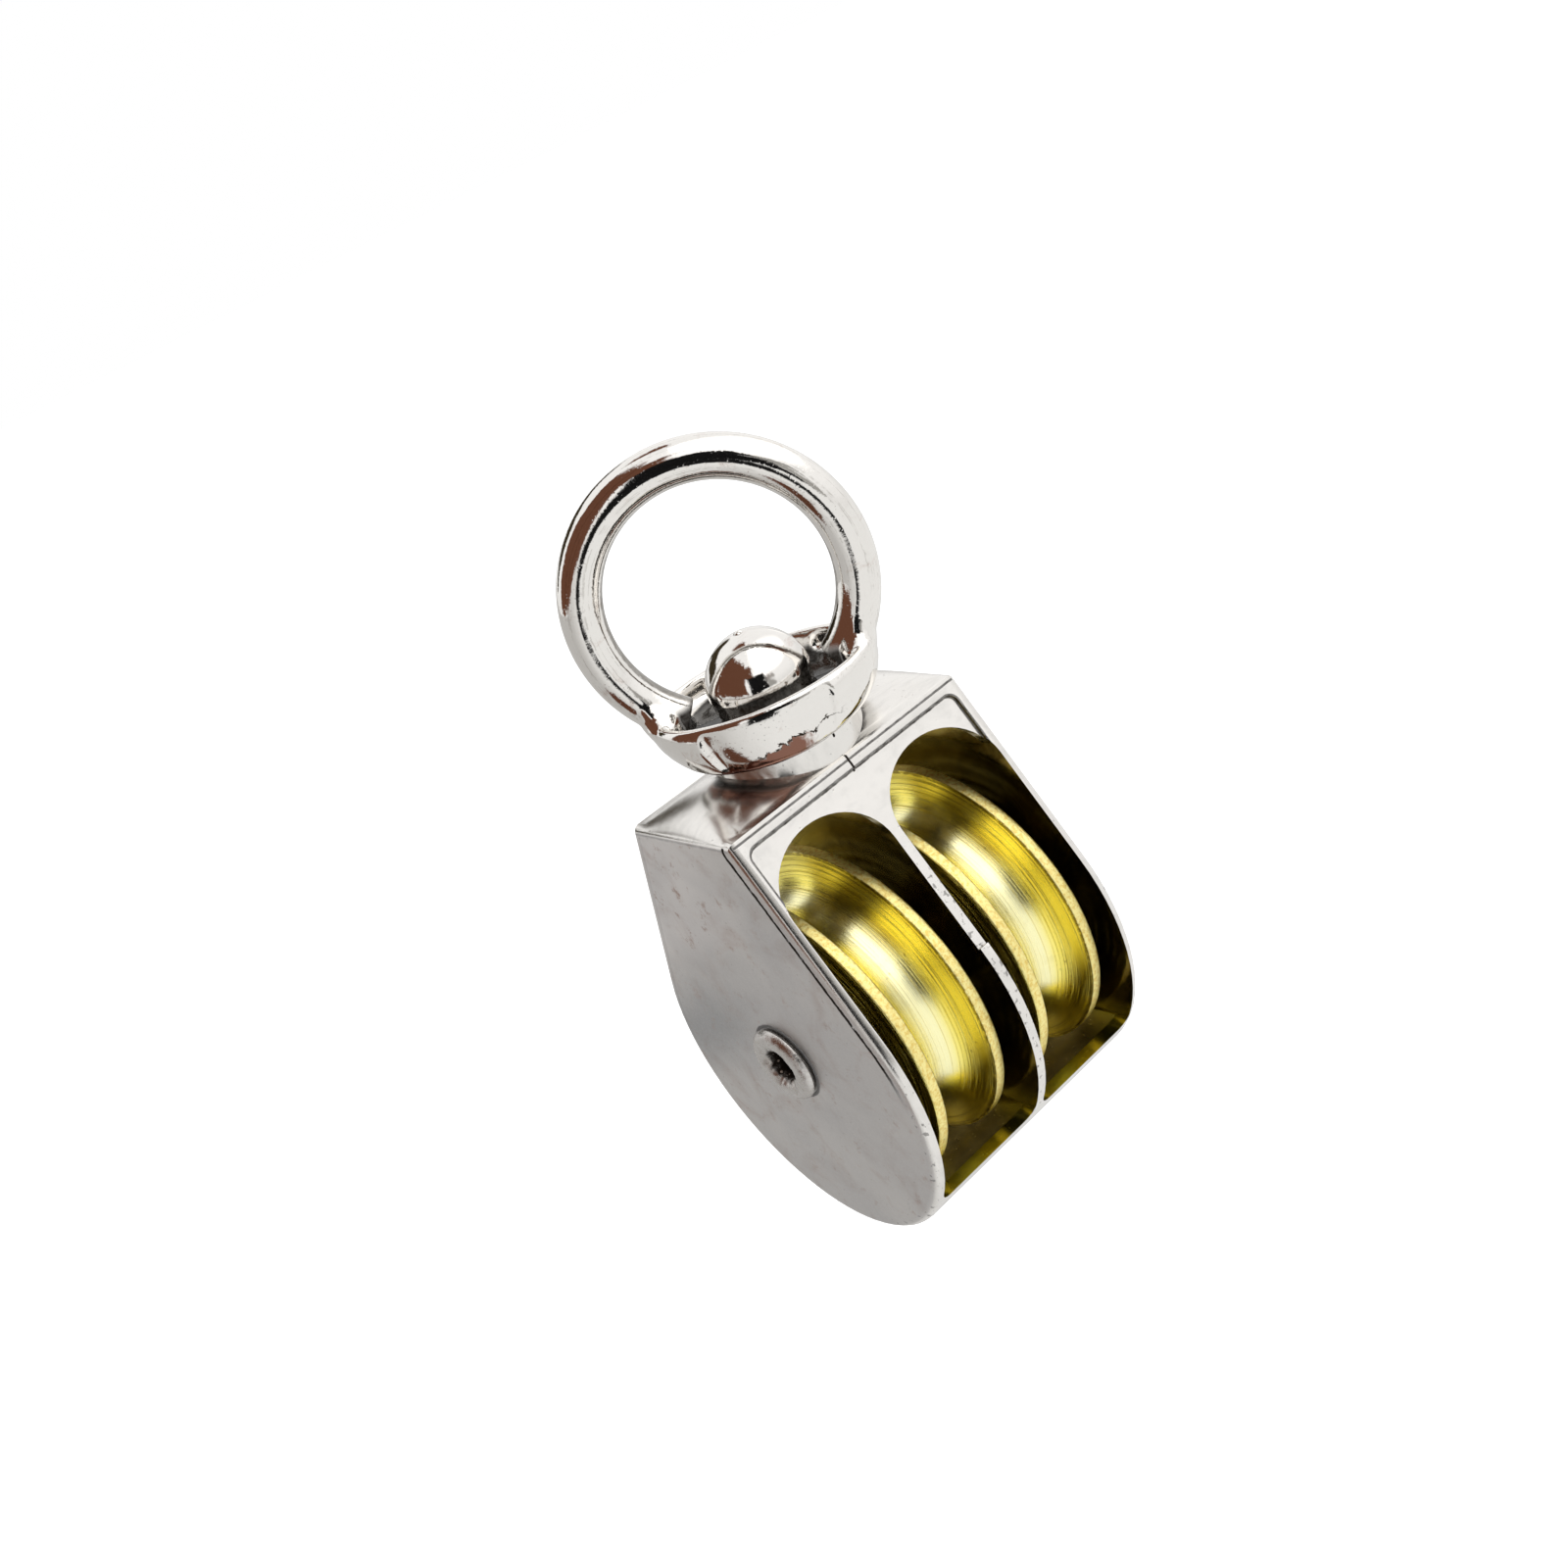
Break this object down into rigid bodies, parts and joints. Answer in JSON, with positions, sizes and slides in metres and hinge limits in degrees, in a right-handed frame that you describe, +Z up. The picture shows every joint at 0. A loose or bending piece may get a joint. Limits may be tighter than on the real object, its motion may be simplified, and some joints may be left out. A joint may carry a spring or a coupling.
{
  "type": "double pulley",
  "caption": "Swivel-eye double pulley: grooved brass sheaves side by side in a bright plated housing that hangs from a turning ring, for awning cord and light rope.",
  "frame": {"origin": "the eye's bearing point, the inside top of the ring, where a hook or shackle carries the pulley", "axes": "+Z up along the swivel axis, X along the axle of the sheaves, -Y the front"},
  "size_m": [0.0375, 0.0412, 0.0894],
  "materials": {
    "plated_casting": "bright nickel plate over a die casting, satin on the cheeks",
    "bright_pin": "polished nickel plate",
    "rivet_steel": "plated steel, torn and dark in the rolled end",
    "sheave_brass": "turned and polished, with fine lathe lines"
  },
  "bodies": {
    "eye": {"swivel_eye": "plated_casting"},
    "housing": {"housing": "plated_casting", "swivel_pin": "bright_pin", "axle_rivet": "rivet_steel"},
    "left_sheave": {"left_sheave": "sheave_brass"},
    "right_sheave": {"right_sheave": "sheave_brass"}
  },
  "joints": [
    {"name": "eye_swivel", "type": "hinge", "parent": "eye", "child": "housing", "pos_m": [0, 0, 0], "axis": [0, 0, 1], "continuous": true},
    {"name": "left_sheave_spin", "type": "hinge", "parent": "housing", "child": "left_sheave", "pos_m": [-0.0083, 0, -0.061], "axis": [1, 0, 0], "continuous": true},
    {"name": "right_sheave_spin", "type": "hinge", "parent": "housing", "child": "right_sheave", "pos_m": [0.0083, 0, -0.061], "axis": [1, 0, 0], "continuous": true}
  ]
}
